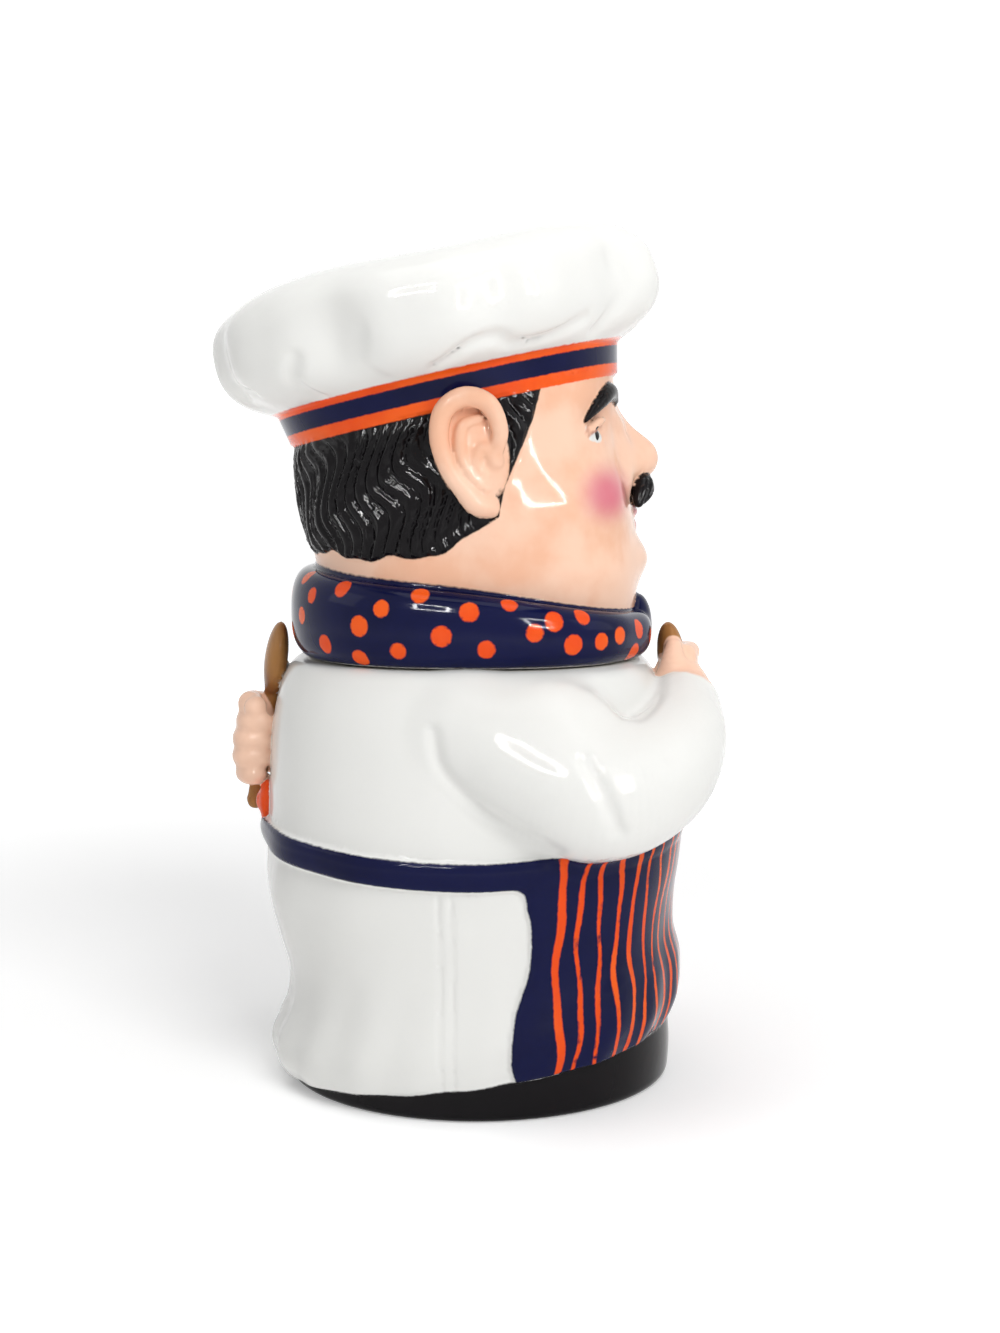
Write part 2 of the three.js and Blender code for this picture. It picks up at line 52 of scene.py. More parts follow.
# The body.
SEAT = 146.0
HALF_WIDTH, HALF_DEPTH = 72.0, 72.0
BASE_RADIUS = 66.5
HEM, HEM_RISE = 12.0, 9.5
WALL, FLOOR, SHOULDER, MOUTH, MOUTH_BACK = 5.0, 7.0, 6.0, 48.0, 2.0
BELT_WIDTH, BELT_RELIEF = 9.5, 2.0
# The apron's side edge: share of the way up the skirt, and degrees round from the front.
APRON_SIDE = [[0, 79.5], [0.12, 81], [0.34, 80], [0.56, 76.3], [0.78, 76], [0.94, 77.5], [1.3, 78]]
SEAM_TURNS = (radians(96.3), radians(99.6))
# Millimetres round the skirt to a radian.
SKIRT_RADIUS = 66.0
# Farther out than these, a surface is the jar's outside.
TROUSERS_FROM, JACKET_FROM = 55.0, 58.0
# The jacket's sections: share of the way up, and shares of the half width, front depth and back depth.
JACKET = [
    [0, 0.93, 0.885, 0.935], [0.04, 0.95, 0.92, 0.99], [0.09, 0.965, 0.943, 0.997],
    [0.17, 0.955, 0.942, 0.93], [0.25, 0.95, 0.91, 0.913], [0.34, 0.96, 0.915, 0.955],
    [0.45, 0.985, 0.945, 1.015], [0.58, 1, 0.965, 1.01], [0.72, 1, 0.96, 1],
    [0.84, 0.975, 0.92, 0.985], [0.93, 0.93, 0.865, 0.95], [1, 0.86, 0.8, 0.885],
]
# The arms, as shares of the half width, half depth and seat, with a radius in millimetres.
RIGHT_ARM = [
    (-0.74, 0.04, 0.86, 20), (-0.87, -0.25, 0.785, 21.5), (-0.92, -0.53, 0.74, 22),
    (-0.8, -0.77, 0.765, 19.5), (-0.55, -0.92, 0.825, 16), (-0.3, -0.96, 0.88, 13.5),
]
LEFT_ARM = [
    (0.74, -0.04, 0.86, 20), (0.89, 0.18, 0.785, 21), (0.95, 0.42, 0.735, 21),
    (0.84, 0.7, 0.735, 18), (0.6, 0.88, 0.765, 15), (0.36, 0.97, 0.793, 12.5),
]
# What fills out the left shoulder, as (x, y, z, radius); the right one is its mirror image.
SHOULDERS = [(50, 6, 122, 21), (54, -10, 122, 23), (57, -22, 122, 23), (61, -33, 114, 21.5)]

# The head.
HEAD_WIDTH, HEAD_DEPTH, HEAD_HEIGHT, HEAD_WALL = 57.0, 56.0, 83.5, 5.0
LID_SEAT = SEAT + 0.3
BAND_MIDDLE = SEAT + HEAD_HEIGHT
BAND_RADIUS, BAND_FLARE, BAND_HEIGHT, BAND_BACK = 57.1, 2.4, 11.5, 8.0
# Where the navy stripe on the band starts and ends.
STRIPE_LOW, STRIPE_HIGH = 3.8, 9.6
TILT = radians(12.6)
HAT_RADIUS, HAT_MIDDLE, HAT_UP, HAT_DOWN, HAT_WALL = 75.0, 31.0, 22.5, 27.0, 4.5
# How squarely the crown's edge turns over, above and below its middle.
HAT_POWER_UP, HAT_POWER_DOWN = 3.4, 2.6
FLANGE_RADIUS, FLANGE_DEPTH, FLANGE_WALL = 46.5, 10.0, 4.0
COLLAR_WIDTH, COLLAR_FRONT, COLLAR_BACK, COLLAR_HEIGHT, COLLAR_RISE = 62.5, 59.5, 63.8, 23.5, 7.5
COLLAR_ROLL = 8.6
# The middle of the flush on a cheek, as distances from the middle planes and a height.
BLUSH, BLUSH_RADIUS = (36, 42.6, 202.2), 7.6
# The head's sections: share of the way up, and shares of the width, front depth and back depth.
HEAD = [
    [0, 0.9, 0.93, 0.91], [0.2, 0.93, 0.995, 0.92], [0.35, 0.98, 1.01, 0.928], [0.5, 1, 1.003, 0.935],
    [0.65, 0.995, 0.985, 0.965], [0.8, 0.985, 0.965, 0.975], [1, 0.975, 0.968, 0.968],
]
# The hair's outline on the side of the head: millimetres round from the middle of the face, and height.
HAIR = [
    (57.5, 262), (58.2, 240), (59.5, 236), (64, 225), (71.5, 211), (75, 205), (77.8, 195), (84.3, 191),
    (92.5, 186), (103.5, 182), (118, 181), (132, 182), (149, 182.5), (165, 183), (190, 183.5), (190, 262),
]
# The neckerchief's spots on the chef's right side: degrees round from the front, and share of its height.
SPOTS = [
    (155, 0.92), (146, 0.76), (152, 0.52), (133, 0.88), (125, 0.5), (139, 0.25), (118, 0.72), (113, 0.24),
    (107, 0.9), (100, 0.44), (92, 0.76), (87, 0.3), (80, 0.9), (73, 0.56), (67, 0.74), (61, 0.4), (57, 0.84),
    (51, 0.46), (43, 0.56), (30, 0.66), (33, 0.2), (18, 0.45), (165, 0.3), (170, 0.7), (126, 0.12),
    (178, 0.45),
]
# The ridges of the left ear, as (x, y, z, radius); the right one is its mirror image.
EAR_RIM = [
    (60, -5.5, 214, 2.3), (62, -7.6, 222, 2.7), (62.5, -4, 230.5, 3.1), (62.5, 3.5, 232.8, 3.3),
    (62.5, 10, 228.5, 3.3), (62.5, 11.6, 220, 3.1), (62, 9, 211, 2.9), (61, 4.5, 204.5, 3.2),
    (60, 0, 199.5, 3.7), (58.5, -4.2, 198.4, 3.4),
]
EAR_FOLD = [
    (61.2, -1, 226, 1.5), (62, 4.2, 223.5, 1.9), (62, 4.8, 215, 2), (61.2, 1.2, 208, 2), (60, -3, 204.5, 1.8),
]
EAR_WHORL = [(60, -6.2, 212.5, 2.4), (61.4, -2.4, 217, 1.8), (61.4, 0, 212.5, 1.5), (60.6, -2.4, 208.4, 1.4)]
# Creases beside the left nostril and down the left half of the moustache, mirrored for the right.
NOSE_WING = [(6.5, -54.5, 216.5), (9.8, -51, 215), (10.8, -49.2, 211), (9, -50, 207.6)]
MOUSTACHE_LOCKS = [
    [(4, -60.5, 208), (9.5, -60.2, 203.5), (12.5, -56.8, 199)],
    [(8, -58.9, 208), (11.5, -58, 203.5), (12.5, -56.8, 199)],
]
# The crown's creases: (degrees from the front, height above the band's lower edge) points, depth and width.
HAT_CREASES = [
    ([(91, 13.5), (82, 17.5), (74, 17.5), (69, 15), (56, 15.5), (46, 17.5)], 2.4, 2.6),
    ([(127, 25), (131, 19), (130, 12.5)], 2.2, 2.8),
    ([(161, 18), (155, 21), (148, 20)], 1.3, 2.6),
    ([(107, 13), (111, 19), (108, 28)], 1.2, 3.2),
    ([(38, 14), (30, 24), (33, 37)], 1.8, 3.2),
    ([(8, 14), (2, 22), (-6, 33)], 1.9, 3),
    ([(-34, 15), (-46, 18), (-60, 16.5), (-74, 18)], 2.2, 2.7),
    ([(-96, 14), (-90, 25), (-95, 38)], 1.8, 3),
    ([(-128, 14), (-138, 20), (-150, 18)], 2, 2.8),
    ([(178, 14), (171, 24), (176, 36)], 1.9, 3),
]


def smoothstep(low, high, value):
    share = np.clip((value - low) / (high - low), 0, 1)
    return share * share * (3 - 2 * share)


def bump(offset, spread):
    return np.exp(-((offset / spread) ** 2))


def joined(a, b, softness):
    """The union of two distances, filleted where they meet."""
    near = np.maximum(softness - np.abs(a - b), 0) / softness
    return np.minimum(a, b) - near * near * softness / 4


def cut(a, b, softness):
    """The distance to a without b, with a softened edge."""
    return -joined(-a, b, softness)


def spline(rows, count):
    """Rows carried on smoothly to count values between each pair."""
    rows = np.array(rows, float)
    ends = np.vstack([2 * rows[0] - rows[1], rows, 2 * rows[-1] - rows[-2]])
    made = []
    for before, low, high, after in zip(ends, ends[1:], ends[2:], ends[3:]):
        slope_in, slope_out = (high - before) / 2, (after - low) / 2
        rise = high - low
        square = 3 * rise - 2 * slope_in - slope_out
        cube = slope_in + slope_out - 2 * rise
        for step in range(count):
            s = step / count
            made.append(low + s * (slope_in + s * (square + s * cube)))
    return np.array(made + [rows[-1]])


def table(rows):
    """Sections as smooth columns that can be looked up by the share of the way up."""
    fine = spline(rows, 16)
    return lambda share: [np.interp(share, fine[:, 0], column) for column in fine.T[1:]]


jacket_at, head_at, apron_at = table(JACKET), table(HEAD), table(APRON_SIDE)


def oval(turn, width, front, back):
    """The radius at a turn of an oval with slightly squared corners."""
    squareness = 2.25
    depth = np.where(np.cos(turn) > 0, front, back)
    across = np.abs(np.sin(turn) / width) ** squareness
    along = np.abs(np.cos(turn) / depth) ** squareness
    return (across + along) ** (-1 / squareness)


def polar(points):
    """The turn about the upright axis, 0 in front and positive to the chef's right, and the radius."""
    x, y = points[:, 0], points[:, 1]
    return np.arctan2(-x, -y), np.hypot(x, y)


def from_mouth(points):
    """Distance from the upright line through the middle of the jar's mouth."""
    return np.hypot(points[:, 0], points[:, 1] - MOUTH_BACK)


def around(turn, radius, z):
    return np.array([-radius * sin(turn), -radius * cos(turn), z])


def outline(corners, u, v):
    """Distance to a polygon, negative inside."""
    corners = np.array(corners, float)
    nearest = np.full(u.shape, FAR)
    inside = np.zeros(u.shape, bool)
    for (ax, ay), (bx, by) in zip(corners, np.roll(corners, -1, axis=0)):
        dx, dy = bx - ax, by - ay
        share = np.clip(((u - ax) * dx + (v - ay) * dy) / (dx * dx + dy * dy), 0, 1)
        nearest = np.minimum(nearest, (u - ax - share * dx) ** 2 + (v - ay - share * dy) ** 2)
        crosses = (ay > v) != (by > v)
        if ay != by:
            inside ^= crosses & (u < dx * (v - ay) / (by - ay) + ax)
    return np.sqrt(nearest) * np.where(inside, -1, 1)


def nearest_path(flat, path):
    """Distance in the upright side plane to a path of (y, z) points."""
    found = np.full(len(flat), FAR)
    fine = spline(path, 5)
    for start, end in zip(fine, fine[1:]):
        way = end - start
        share = np.clip((flat - start) @ way / (way @ way), 0, 1)
        found = np.minimum(found, np.hypot(*(flat - start - share[:, None] * way).T))
    return found


# Each form below is (lowest corner, highest corner, distance function).

def ellipsoid(centre, radii, turns=(0, 0, 0)):
    centre, radii = np.array(centre, float), np.array(radii, float)
    turned = np.array(Euler([radians(angle) for angle in turns]).to_matrix())
    reach = np.sqrt(((turned * radii) ** 2).sum(axis=1))

    def distance(points):
        local = (points - centre) @ turned
        length = np.sqrt(((local / radii) ** 2).sum(axis=1)) + 1e-9
        slope = np.sqrt(((local / radii ** 2) ** 2).sum(axis=1)) + 1e-9
        return length * (length - 1) / slope

    return centre - reach, centre + reach, distance


def chain(joints, fine=5):
    """A limb with round ends along (x, y, z, radius) joints."""
    joints = spline(joints, fine) if len(joints) > 2 else np.array(joints, float)
    low = (joints[:, :3] - joints[:, 3:]).min(axis=0)
    high = (joints[:, :3] + joints[:, 3:]).max(axis=0)

    def distance(points):
        found = np.full(len(points), FAR)
        for start, end in zip(joints, joints[1:]):
            way = end[:3] - start[:3]
            gap = points - start[:3]
            share = np.clip(gap @ way / (way @ way), 0, 1)
            gap = gap - share[:, None] * way
            apart = np.sqrt((gap ** 2).sum(axis=1))
            found = np.minimum(found, apart - start[3] - share * (end[3] - start[3]))
        return found

    return low, high, distance


def mirrored(rows):
    """The rows on the chef's right side, then those on the left, from rows on the left."""
    return [[(side * row[0], *row[1:]) for row in rows] for side in (-1, 1)]


def pair(rows):
    """A limb on each side of the chef."""
    return [chain(side) for side in mirrored(rows)]


def add(field, points, forms, softness):
    """Joins forms to the field, each only near itself."""
    for low, high, distance in forms:
        near = np.all((points > low - softness - 3) & (points < high + softness + 3), axis=1)
        if near.any():
            field[near] = joined(field[near], distance(points[near]), softness)


def press(field, points, creases):
    """Presses soft creases into the field, each a path, a depth and a width."""
    for path, depth, width in creases:
        low, high, distance = chain([(*point, 0) for point in path])
        near = np.all((points > low - 3 * width) & (points < high + 3 * width), axis=1)
        if near.any():
            field[near] += depth * bump(distance(points[near]), width)


# The body

def hem_at(turn):
    return HEM + HEM_RISE * np.cos(turn)


def belt_middle(turn):
    ahead = np.cos(turn)
    return SEAT * (0.56 + np.where(ahead > 0, 0.06 * np.abs(ahead) ** 1.5, 0.04 * ahead ** 2))


def belt_half(turn):
    """Half the belt's width, which narrows at the knot behind."""
    return BELT_WIDTH / 2 * (1 - 0.3 * bump(pi - np.abs(turn), 0.35))


def apron_edge(turn, share):
    """Millimetres from the apron's side edge, negative on the apron."""
    edge = np.radians(apron_at(np.clip(share, 0, 1.3))[0])
    return (np.abs(turn) - edge) * SKIRT_RADIUS


def skirt_share(turn, z):
    """Share of the way up from the hem to the belt."""
    return (z - hem_at(turn)) / (belt_middle(turn) - BELT_WIDTH / 2 - hem_at(turn))


def jacket_radius(turn, z):
    share = np.clip((z - hem_at(turn)) / (SEAT - hem_at(turn)), 0, 1)
    width, front, back = jacket_at(share)
    side = np.abs(turn)
    tail = bump(pi - side, 0.5) * bump(share - 0.36, 0.09)
    drape = np.sin(8 * turn + 4 * share) * bump(side, 1.1) * bump(share - 0.18, 0.24)
    pulls = 0.7 * np.sin(11 * turn + 9 * share) * bump(share - 0.5, 0.14) * smoothstep(1.9, 2.5, side)
    flutes = 0.5 * np.sin(21 * turn + 2 * np.sin(6 * share)) * smoothstep(0.34, 0.05, share)
    shell = oval(turn, width * HALF_WIDTH, front * HALF_DEPTH, back * HALF_DEPTH)
    return shell + tail + 0.9 * drape + pulls + flutes


def strap(turn, z):
    """Distance to the belt and apron drawn flat, which meet in a rounded corner; negative on them."""
    belt = np.abs(z - belt_middle(turn)) - belt_half(turn)
    below = z - belt_middle(turn)
    apron = np.maximum(apron_edge(turn, skirt_share(turn, z)), below)
    return joined(belt, apron, 5)


def trouser_radius(z):
    return BASE_RADIUS + 0.7 * np.sin(pi * np.clip(z / (HEM + HEM_RISE), 0, 1))


def body_radius(turn, z):
    jacket = jacket_radius(turn, z)
    relief = BELT_RELIEF * smoothstep(0.9, -0.9, strap(turn, z))
    relief = relief + 0.8 * np.maximum(1 - ((z - belt_middle(turn)) / belt_half(turn)) ** 2, 0)
    skirt = smoothstep(0, 3, belt_middle(turn) - BELT_WIDTH / 2 - z)
    seam_radius = 70
    for seam in SEAM_TURNS:
        jacket = jacket - 0.55 * bump((np.abs(turn) - seam) * seam_radius, 0.9) * skirt
    above_hem = smoothstep(-0.9, 0.7, z - hem_at(turn))
    return trouser_radius(z) + (jacket + relief - trouser_radius(z)) * above_hem


def body_point(row):
    return (row[0] * HALF_WIDTH, row[1] * HALF_DEPTH, row[2] * SEAT, *row[3:])


sleeves = [chain([body_point(row) for row in arm], 12) for arm in (RIGHT_ARM, LEFT_ARM)]
shoulders = pair(SHOULDERS)
# Where the right sleeve presses into the jacket, as (y, z) points seen from the side.
sleeve_line = [(13.4, 128), (10.9, 117.2), (1.7, 107.8), (-9.1, 101), (-26, 91.6)]
sleeve_creases = [
    ([(-84, -34, 121), (-88, -40, 110), (-84, -44, 100)], 1.6, 2.6),
    ([(-80, -60, 121), (-82, -68, 113), (-76, -74, 103)], 1.2, 2.4),
    ([(-66, -76, 124), (-66, -84, 117), (-60, -84, 108)], 1.0, 2.2),
    ([(84, 22, 122), (90, 30, 112), (86, 34, 100)], 1.5, 2.6),
    ([(80, 52, 120), (82, 60, 110), (76, 66, 100)], 1.2, 2.4),
]


def front_hand():
    """The right hand at the chest: wrist, back of the hand, four curled fingers and an upright thumb."""
    forms = [
        chain([(-24, -70.5, 128.5, 10), (-16, -70.5, 134, 9.4), (-8, -68.5, 140, 7.8)]),
        chain([(-17, -67.5, 132, 6.2), (-15, -66.6, 141, 5.2), (-12, -66.9, 149.5, 2.8)]),
    ]
    for finger in range(4):
        z = 130 + 5.5 * finger
        back = [(-9, -71.5, z, 3.5), (-1, -73.4, z + 0.4, 3.5)]
        tip = [(5.5, -71, z, 3.3), (5.8, -66.5, z - 0.4, 3.1)]
        forms.append(chain(back + tip))
    return forms


def back_hand():
    """The left hand behind the back: its fingers close round the spoon towards -X."""
    forms = [
        chain([(24, 69, 115, 9.5), (14, 74, 116.5, 9.4), (5, 77, 117, 8.6)]),
        ellipsoid((2, 78, 117), (8, 6.2, 14.8), (6, 0, 0)),
        chain([(11, 72, 107, 5), (11, 71, 124, 5)]),
        chain([(12, 78, 124, 4.6), (4, 79.5, 128, 4.2), (-3, 79.4, 129.2, 3.7)]),
    ]
    # Each finger's height, how far out it stands, and where its tip lies.
    fingers = [
        (104.8, 80.8, 76.8), (110.6, 81.9, 75.4), (116.6, 81.7, 75), (122.8, 80.4, 74.4), (128.2, 79, 77),
    ]
    for z, out, tip in fingers:
        knuckles = [(8, out - 2, z, 3.8), (-1, out, z, 4), (-6.5, out - 2, z, 3.9)]
        forms.append(chain(knuckles + [(-8, tip, z, 3.6)]))
    return forms


def spoon(end, tip, width=8.5, thickness=3.9, half_length=13):
    """A handle from its end, and a bowl with its tip up."""
    end, tip = Vector(end), Vector(tip)
    way = (tip - end).normalized()
    middle = tip - way * half_length
    lean = way.to_track_quat("Z", "Y").to_euler()
    turns = [angle * 180 / pi for angle in lean]
    handle = chain([(*end, 3.2), (*(end + way * 4), 2.9), (*middle, 2.3)])
    return [handle, ellipsoid(middle, (width, thickness, half_length), turns)]


hands = front_hand() + back_hand()
spoons = spoon((-4, -70.8, 108), (-5, -65.4, 157.5), 8.5, 4.5, 12) + spoon((0.4, 78, 95), (2.9, 68.6, 157))
knot_z = float(belt_middle(np.array([pi]))[0]) + BELT_WIDTH
knot_y = float(jacket_radius(np.array([pi]), np.array([knot_z]))[0]) + 0.6
back_knot = [
    ellipsoid((-10, knot_y - 0.6, knot_z - 1), (6.6, 3.4, 7)),
    ellipsoid((-10, knot_y + 2, knot_z - 1), (2.9, 1.6, 2.9)),
]


def body_hollow(points):
    turn, radius = polar(points)
    z = points[:, 2]
    trousers = np.where(z < HEM + HEM_RISE + WALL, trouser_radius(z), FAR)
    wall = np.minimum(jacket_radius(turn, z), trousers) - WALL
    room = -joined(joined(wall - radius, z - FLOOR, 6), SEAT - SHOULDER - z, 6)
    neck = np.maximum(from_mouth(points) - MOUTH, 125 - z)
    return joined(room, neck, 3)


def body_field(points):
    turn, radius = polar(points)
    z = points[:, 2]
    field = radius - body_radius(turn, z)
    add(field, points, shoulders, 5)
    field = cut(field, SEAT - z, 4)
    field = cut(field, z, 3)
    add(field, points, sleeves, 4.5)
    beside = points[:, 0] < -45
    field[beside] += 1.3 * bump(nearest_path(points[beside][:, 1:], sleeve_line), 2.4)
    add(field, points, hands, 2)
    add(field, points, spoons, 0.9)
    add(field, points, back_knot, 1.2)
    press(field, points, sleeve_creases)
    return cut(field, body_hollow(points), 1.5)


# The head

def upright(points):
    """Points in the hat's own frame, where its band lies flat."""
    y, z = points[:, 1] - BAND_BACK, points[:, 2] - BAND_MIDDLE
    return np.stack([points[:, 0], y * cos(TILT) - z * sin(TILT), y * sin(TILT) + z * cos(TILT)], axis=1)


def hat_point(degrees, height):
    """A point of the crown at a turn and a height above the band's lower edge."""
    lower = height < HAT_MIDDLE
    reach = HAT_DOWN if lower else HAT_UP
    power = HAT_POWER_DOWN if lower else HAT_POWER_UP
    level = min(abs(height - HAT_MIDDLE) / reach, 1)
    radius = HAT_RADIUS * max(1 - level ** power, 0) ** (1 / power)
    x, y, z = around(radians(degrees), radius, height)
    return (x, BAND_BACK + y * cos(TILT) + z * sin(TILT), BAND_MIDDLE - y * sin(TILT) + z * cos(TILT))


def head_place(points):
    """Turn and radius about the head's leaning middle, and the share of the way up to the hat band."""
    share = (points[:, 2] - LID_SEAT) / (BAND_MIDDLE - LID_SEAT)
    for _ in range(2):
        back = BAND_BACK * np.clip(share, 0, 1)
        turn = np.arctan2(-points[:, 0], -(points[:, 1] - back))
        top = BAND_MIDDLE + BAND_RADIUS * sin(TILT) * np.cos(turn)
        share = (points[:, 2] - LID_SEAT) / (top - LID_SEAT)
    return turn, np.hypot(points[:, 0], points[:, 1] - back), share


def face_out(turn, share):
    """How far the face stands out from the plain head."""
    side = np.abs(turn)
    cheek = 4.5 * bump(side - 0.7, 0.32) * bump(share - 0.59, 0.13)
    socket = -1.6 * bump(side - 0.6, 0.22) * bump(share - 0.86, 0.06)
    chin = 4.6 * bump(side, 0.27) * bump(share - 0.35, 0.08)
    jowl = 2 * bump(side - 0.62, 0.35) * bump(share - 0.33, 0.1)
    mouth = 1.2 * bump(side, 0.3) * bump(share - 0.51, 0.06)
    return cheek + socket + chin + jowl + mouth


def hair_edge(turn, z):
    """Distance to the ragged edge of the hair, negative on it."""
    ragged = 0.9 * np.sin(13 * turn + 1) + 0.5 * np.sin(29 * turn)
    return outline(HAIR, np.abs(turn) * HEAD_WIDTH, z) + ragged * smoothstep(1.45, 1.7, np.abs(turn))


def strands(turn, share):
    """Combed locks between -1 and 1: they swing in an S and sweep forward near their ends."""
    side = np.abs(turn)
    sweep = 0.055 * np.sin(17 * share + 5 * side) + 0.3 * np.clip(0.62 - share, 0, 1) ** 1.5
    phase = 74 * (side + sweep) + 1.6 * np.sin(9 * side + 7 * share)
    locks = 1.5 * np.abs(np.sin(phase / 2)) * (0.85 + 0.15 * np.sin(17 * share + 9 * side))
    return locks + 0.22 * np.sin(2.5 * phase) * bump(np.sin(9 * share + 11 * side), 0.7) - 0.9


def head_radius(turn, share):
    width, front, back = head_at(np.clip(share, 0, 1))
    return oval(turn, width * HEAD_WIDTH, front * HEAD_DEPTH, back * HEAD_DEPTH)


def head_skin(points):
    turn, radius, share = head_place(points)
    out = face_out(turn, share)
    hair = smoothstep(0.6, -1.6, hair_edge(turn, points[:, 2]))
    out = out + hair * (1.2 + 0.95 * strands(turn, share)) * smoothstep(1.03, 0.93, share)
    surface = radius - head_radius(turn, share) - out
    return np.maximum(np.maximum(surface, LID_SEAT + 4 - points[:, 2]), (share - 1.03) * 80)


def collar_rise(turn):
    """The height of the rolled neckerchief at a turn."""
    return COLLAR_HEIGHT - COLLAR_RISE * np.cos(turn) - 0.8 * np.sin(3 * turn) * np.sin(turn)


def collar(points):
    """The rolled neckerchief, soft-edged and faintly pleated."""
    turn, radius = polar(points)
    half = collar_rise(turn) / 2
    across = radius - (oval(turn, COLLAR_WIDTH, COLLAR_FRONT, COLLAR_BACK) - 8)
    across = across + 0.5 * np.sin(14 * turn + 0.12 * points[:, 2]) * bump(np.abs(turn), 0.8)
    level = points[:, 2] - LID_SEAT - half
    size = (np.abs(across / COLLAR_ROLL) ** 2.6 + np.abs(level / half) ** 2.6) ** (1 / 2.6)
    return (size - 1) * COLLAR_ROLL


def band(points):
    local = upright(points)
    height = local[:, 2]
    radius = BAND_RADIUS + BAND_FLARE * np.clip(height / BAND_HEIGHT, 0, 1) - 3
    across = np.abs(np.hypot(local[:, 0], local[:, 1]) - radius) - 2
    level = np.abs(height - BAND_HEIGHT / 2) - BAND_HEIGHT / 2 + 1.2
    beyond = np.hypot(np.maximum(across, 0), np.maximum(level, 0))
    return beyond + np.minimum(np.maximum(across, level), 0) - 1.1


def crown(points):
    local = upright(points)
    turn, radius = polar(local)
    height = local[:, 2]
    share = np.clip((height - BAND_HEIGHT) / 42, 0, 1)
    lobes = 0.034 * np.sin(5 * turn + 0.9) + 0.03 * np.sin(9 * turn - 1) * (1 - 0.5 * share)
    lobes = lobes + 0.01 * np.sin(17 * turn + 2)
    size = HAT_RADIUS * (1 + lobes * np.sin(pi * share ** 0.7))
    sag = 1.2 * np.sin(3 * turn + 0.6) * smoothstep(0.5, 1, share)
    level = height - HAT_MIDDLE - sag
    power = np.where(level > 0, HAT_POWER_UP, HAT_POWER_DOWN)
    reach = np.where(level > 0, HAT_UP, HAT_DOWN)
    gauge = (np.abs(radius / size) ** power + np.abs(level / reach) ** power) ** (1 / power) + 1e-6
    return np.hypot(radius, level) * (1 - 1 / gauge)


noses = [
    chain([(0, -43, 228, 3.4), (0, -49, 221.5, 4.8), (0, -54, 214.5, 5.8)]),
    ellipsoid((0, -54, 213), (6.8, 6.9, 6)),
    *[ellipsoid((side * 6.4, -51, 211.5), (4, 4.6, 4)) for side in (-1, 1)],
    *pair([(9, -44.6, 223, 4), (11.5, -46.4, 215, 4.6), (14, -47, 207, 4.6)]),
]
lips = [
    ellipsoid((0, -52, 195.5), (7.8, 3, 2.4)),
    ellipsoid((0, -51.3, 190.6), (6.8, 3.4, 2.9)),
]
brows = pair([
    (12.5, -46, 232.6, 1.6), (20, -43.6, 235.6, 3.2), (29, -40.6, 232.6, 2.8), (37.6, -35.6, 225.8, 0.6),
])
moustaches = pair([(1.5, -55, 207, 3.4), (8, -56.2, 203.5, 4.1), (12.5, -54.5, 198.8, 1.9)])
eyes = [
    ellipsoid((side * 34.2, -36.2, 220.5), (5.8, 2.6, 3.7), (0, -8 * side, 44 * side)) for side in (-1, 1)
]
pupils = [ellipsoid((side * 34.3, -39.5, 221.8), (1.7, 0.95, 2.2)) for side in (-1, 1)]
lids = pair([
    (29.4, -41.4, 226.2, 1), (32.4, -39.8, 225.4, 1.4), (36.2, -36.2, 222.2, 1.2), (39.4, -32.6, 218, 0.8),
])
under_lids = pair([(29.8, -40.7, 218.6, 0.8), (33.8, -37.6, 216.6, 0.9), (38.8, -33, 216.9, 0.6)])
ear_plates = [ellipsoid((side * 56.8, 1.7, 216), (5.3, 11.5, 17.5), (-14, 0, 0)) for side in (-1, 1)]
ear_insides = [ellipsoid((side * 60, 1.5, 216), (12, 10, 16), (-14, 0, 0)) for side in (-1, 1)]
ear_ridges = pair(EAR_RIM) + pair(EAR_FOLD) + pair(EAR_WHORL)
collar_knot = ellipsoid((0, 4.5 - COLLAR_FRONT, LID_SEAT + 0.46 * COLLAR_HEIGHT), (9.5, 5.2, 10))

hat_creases = [([hat_point(*spot) for spot in path], depth, width) for path, depth, width in HAT_CREASES]
face_creases = [(path, 0.9, 0.9) for path in mirrored(NOSE_WING)]
face_creases += [(path, 0.6, 0.6) for rows in MOUSTACHE_LOCKS for path in mirrored(rows)]


def head_hollow(points):
    bore = np.maximum(from_mouth(points) - FLANGE_RADIUS + FLANGE_WALL, points[:, 2] - LID_SEAT - 14)
    turn, radius, share = head_place(points)
    room = radius - head_radius(turn, share) + HEAD_WALL
    room = np.maximum(np.maximum(room, (0.1 - share) * 80), (share - 0.98) * 80)
    local = upright(points)
    within_band = np.hypot(local[:, 0], local[:, 1]) - BAND_RADIUS + HEAD_WALL
    throat = np.maximum(within_band, np.abs(local[:, 2] - 4) - 16)
    inside = joined(joined(bore, room, 4), throat, 4)
    return joined(inside, np.maximum(crown(points) + HAT_WALL, 13 - local[:, 2]), 3)


def head_field(points):
    field = head_skin(points)
    field = joined(field, collar(points), 1.2)
    field = joined(field, band(points), 0.8)
    field = joined(field, crown(points), 1.2)
    flange = np.maximum(from_mouth(points) - FLANGE_RADIUS, np.abs(points[:, 2] - LID_SEAT) - FLANGE_DEPTH)
    field = np.minimum(field, flange)
    add(field, points, noses, 6.5)
    add(field, points, lips + [collar_knot], 1.2)
    add(field, points, ear_plates, 3)
    add(field, points, ear_ridges, 1.4)
    add(field, points, eyes + moustaches, 0.8)
    add(field, points, lids + under_lids, 1.4)
    add(field, points, brows, 1)
    press(field, points, hat_creases + face_creases)
    return cut(field, head_hollow(points), 1.5)


# Meshes

